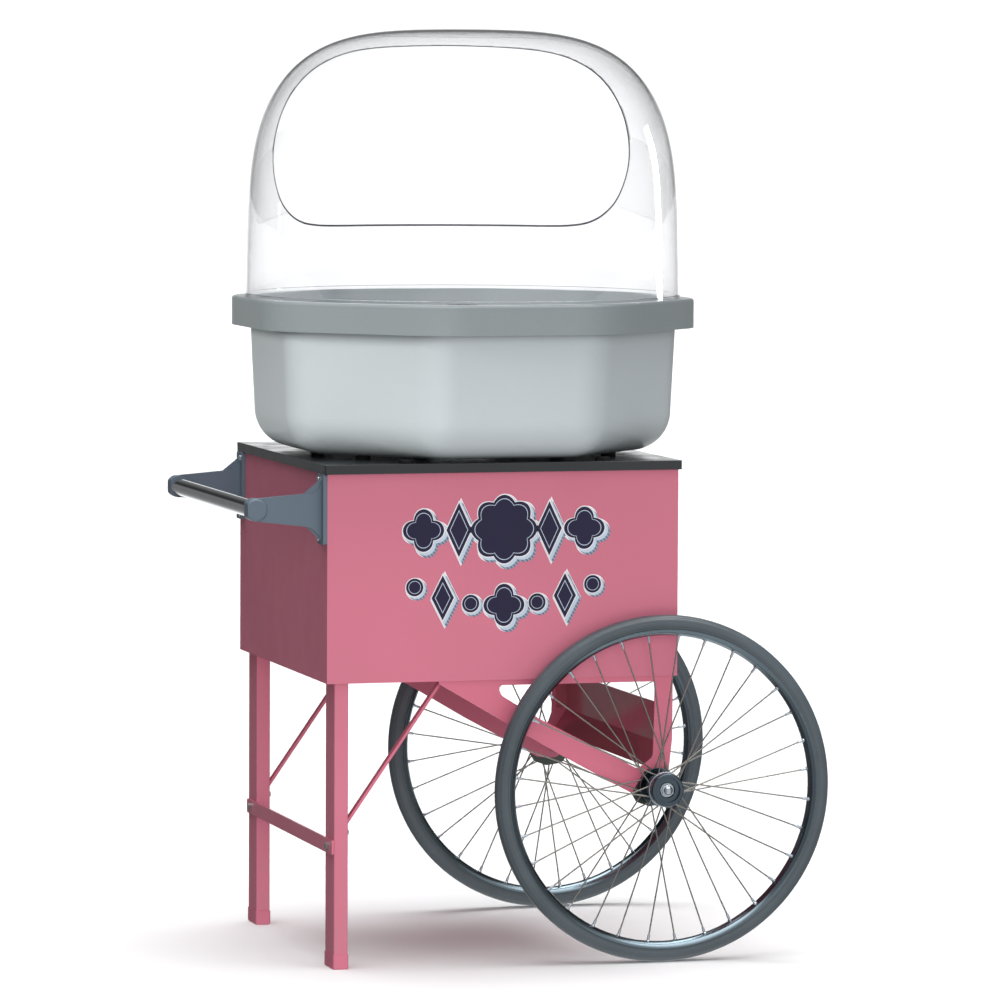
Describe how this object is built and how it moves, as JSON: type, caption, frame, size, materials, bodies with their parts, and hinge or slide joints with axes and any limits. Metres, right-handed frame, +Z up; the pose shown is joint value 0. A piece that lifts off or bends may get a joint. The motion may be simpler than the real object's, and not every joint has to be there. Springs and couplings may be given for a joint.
{
  "type": "cotton candy cart",
  "caption": "Floss machine with a lift-off bowl and a clear dome, built into a two-wheeled cabinet cart with legs at one end and a push handle.",
  "frame": {"origin": "on the ground, under the middle of the whole object's outline", "axes": "+Z up; +X from the handle end towards the wheels; -Y is the decorated front, +Y the operator's side"},
  "size_m": [0.8654, 0.6584, 1.357],
  "materials": {
    "pink_paint": "satin powder coat",
    "deck_paint": "satin",
    "rear_paint": "satin powder coat",
    "pink_plastic": "matt",
    "steel": "zinc plated",
    "dark_steel": "oiled",
    "chrome": "polished",
    "cast_blue_grey": "hammered grey-blue enamel",
    "spoke_wire": "polished wire",
    "rim_chrome": "polished",
    "hub_steel": "zinc plated",
    "tyre": "grey solid rubber",
    "rubber": "matt",
    "aluminium": "spun",
    "ribbon": "heat tinted",
    "brass": "turned",
    "motor_black": "satin",
    "iron": "bare",
    "phenolic": "matt",
    "bowl_plastic": "satin moulded",
    "clear_dome": "clear moulded",
    "black_plastic": "fine texture",
    "red_rocker": "glossy",
    "black_rocker": "glossy",
    "dial": "printed scale under a clear window",
    "control_steel": "brushed",
    "ornament": "applied film"
  },
  "bodies": {
    "cart": {"cabinet_shell": "pink_paint", "cabinet_floor": "pink_paint", "rear_panel": "rear_paint", "deck": "deck_paint", "front_leg": "pink_paint", "rear_leg": "pink_paint", "foot_caps": "pink_plastic", "leg_sockets": "pink_paint", "leg_strap": "pink_paint", "leg_braces": "pink_paint", "frame_bolts": "steel", "front_wheel_bracket": "pink_paint", "rear_wheel_bracket": "pink_paint", "axle_cross_plate": "pink_paint", "axle_bosses": "dark_steel", "axle": "steel", "axle_nuts": "steel", "front_handle_bracket": "cast_blue_grey", "rear_handle_bracket": "cast_blue_grey", "handle_tube": "chrome", "handle_screws": "steel", "motor_mount_plate": "steel", "motor_rubber_mounts": "rubber", "motor_studs": "steel", "motor_housing": "motor_black", "motor_bearings": "steel", "brush_holder": "phenolic", "spindle_guard": "aluminium", "bowl_pads": "rubber", "door_hinges": "steel", "control_plate": "control_steel", "switch_bezels": "black_plastic", "voltmeter": "dial", "power_inlet": "black_plastic", "front_ornament": "ornament"},
    "front_wheel": {"front_tyre": "tyre", "front_rim": "rim_chrome", "front_hub": "hub_steel", "front_hub_cap": "hub_steel", "front_spokes": "spoke_wire"},
    "rear_wheel": {"rear_tyre": "tyre", "rear_rim": "rim_chrome", "rear_hub": "hub_steel", "rear_hub_cap": "hub_steel", "rear_spokes": "spoke_wire"},
    "spinner": {"motor_rotor": "iron", "spindle": "steel", "slip_rings": "brass", "head_base": "aluminium", "heating_ribbon": "ribbon", "floss_screen": "aluminium", "head_cap": "aluminium", "head_nut": "steel"},
    "bowl": {"bowl": "bowl_plastic"},
    "dome": {"dome": "clear_dome"},
    "door": {"rear_door": "rear_paint"},
    "latch": {"door_latch": "chrome"},
    "power_rocker": {"power_switch_rocker": "red_rocker"},
    "heat_rocker": {"heat_switch_rocker": "black_rocker"},
    "heat_dial": {"heat_knob": "black_plastic"}
  },
  "joints": [
    {"name": "front_wheel_spin", "type": "hinge", "parent": "cart", "child": "front_wheel", "pos_m": [0.1787, -0.2964, 0.254], "axis": [0, 1, 0], "continuous": true},
    {"name": "rear_wheel_spin", "type": "hinge", "parent": "cart", "child": "rear_wheel", "pos_m": [0.1787, 0.2964, 0.254], "axis": [0, 1, 0], "continuous": true},
    {"name": "head_spin", "type": "hinge", "parent": "cart", "child": "spinner", "pos_m": [-0.0437, 0, 0.9], "axis": [0, 0, 1], "continuous": true},
    {"name": "bowl_lift", "type": "slide", "parent": "cart", "child": "bowl", "axis": [0, 0, 1], "range_m": [0, 0.24]},
    {"name": "dome_lift", "type": "slide", "parent": "bowl", "child": "dome", "axis": [0, 0, 1], "range_m": [0, 0.3]},
    {"name": "door_swing", "type": "hinge", "parent": "cart", "child": "door", "pos_m": [-0.2862, 0.2692, 0.565], "axis": [0, 0, 1], "range_deg": [0, 110]},
    {"name": "latch_turn", "type": "hinge", "parent": "door", "child": "latch", "pos_m": [-0.1187, 0.264, 0.565], "axis": [0, -1, 0], "range_deg": [0, 90]},
    {"name": "power_switch_tilt", "type": "hinge", "parent": "cart", "child": "power_rocker", "pos_m": [0.0043, 0.265, 0.646], "axis": [1, 0, 0], "range_deg": [0, 12]},
    {"name": "heat_switch_tilt", "type": "hinge", "parent": "cart", "child": "heat_rocker", "pos_m": [0.0443, 0.265, 0.646], "axis": [1, 0, 0], "range_deg": [0, 12]},
    {"name": "heat_knob_turn", "type": "hinge", "parent": "cart", "child": "heat_dial", "pos_m": [0.0963, 0.264, 0.646], "axis": [0, -1, 0], "range_deg": [0, 270]}
  ]
}
